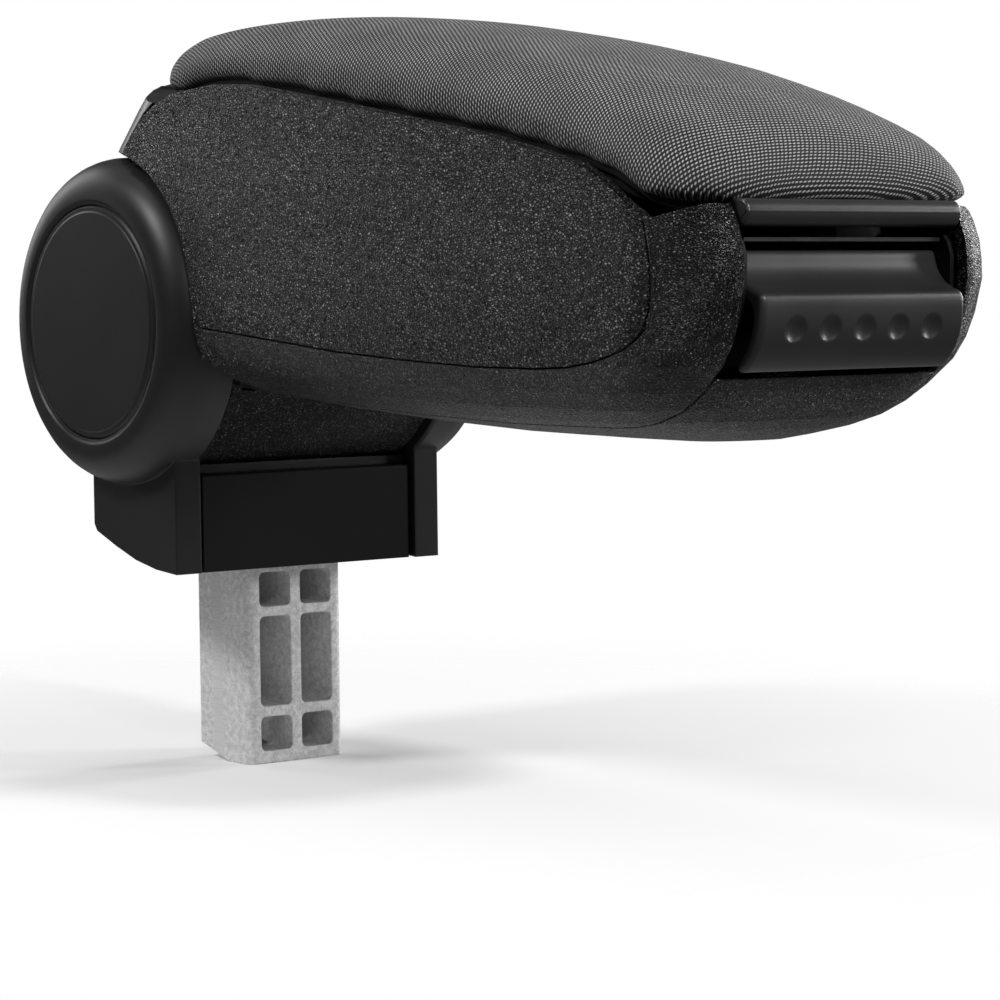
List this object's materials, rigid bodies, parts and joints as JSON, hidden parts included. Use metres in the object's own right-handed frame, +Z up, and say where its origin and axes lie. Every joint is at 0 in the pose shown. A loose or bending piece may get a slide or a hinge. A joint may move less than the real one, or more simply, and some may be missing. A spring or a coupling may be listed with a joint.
{
  "type": "car centre armrest",
  "caption": "Fold-up car centre armrest on a cast plug-in post, with a storage box, a padded hinged lid and a thumb release lever.",
  "frame": {"origin": "on the vertical axis of the post, level with the underside of the base that sits on the socket", "axes": "+X to the front, where the lid's latch is; +Y to the left; +Z up"},
  "size_m": [0.3182, 0.124, 0.2277],
  "materials": {
    "arm_plastic": "fine satin",
    "cap_plastic": "fine satin",
    "plate_plastic": "smooth black",
    "cast_aluminium": "as cast, mottled",
    "steel": "plain",
    "nylon": "natural",
    "grained_plastic": "leather grain",
    "inlay_plastic": "leather grain",
    "inner_plastic": "fine texture",
    "satin_plastic": "smooth satin",
    "fabric": "woven mesh"
  },
  "bodies": {
    "base": {"right_arm_cover": "arm_plastic", "left_arm_cover": "arm_plastic", "right_cap": "cap_plastic", "left_cap": "cap_plastic", "post_casting": "cast_aluminium", "front_plate": "plate_plastic", "rear_plate": "arm_plastic", "base_floor": "arm_plastic", "saddle_cover": "arm_plastic", "floor_screws": "steel", "pivot_shaft": "steel", "right_bush": "nylon", "left_bush": "nylon", "right_washer": "nylon", "left_washer": "nylon"},
    "armrest": {"lower_shell": "grained_plastic", "right_side_shell": "grained_plastic", "left_side_shell": "grained_plastic", "right_inlay": "inlay_plastic", "left_inlay": "inlay_plastic", "storage_tray": "inner_plastic", "rear_cover": "satin_plastic", "latch_plate": "steel", "lever_pin": "steel", "lever_spring": "steel", "tray_screws": "steel", "lid_hinge_pin": "steel"},
    "lid": {"lid_base": "inner_plastic", "pad": "fabric", "front_bar": "satin_plastic"},
    "lever": {"release_lever": "satin_plastic"}
  },
  "joints": [
    {"name": "armrest_tilt", "type": "hinge", "parent": "base", "child": "armrest", "pos_m": [-0.0039, 0, 0.0763], "axis": [0, -1, 0], "range_deg": [0, 95]},
    {"name": "lid_hinge", "type": "hinge", "parent": "armrest", "child": "lid", "pos_m": [0.0116, 0, 0.1488], "axis": [0, -1, 0], "range_deg": [0, 80]},
    {"name": "lever_press", "type": "hinge", "parent": "armrest", "child": "lever", "pos_m": [0.2476, 0, 0.0883], "axis": [0, 1, 0], "range_deg": [0, 8], "stiffness_Nm_per_rad": 0.5, "springref_deg": -11.46}
  ]
}
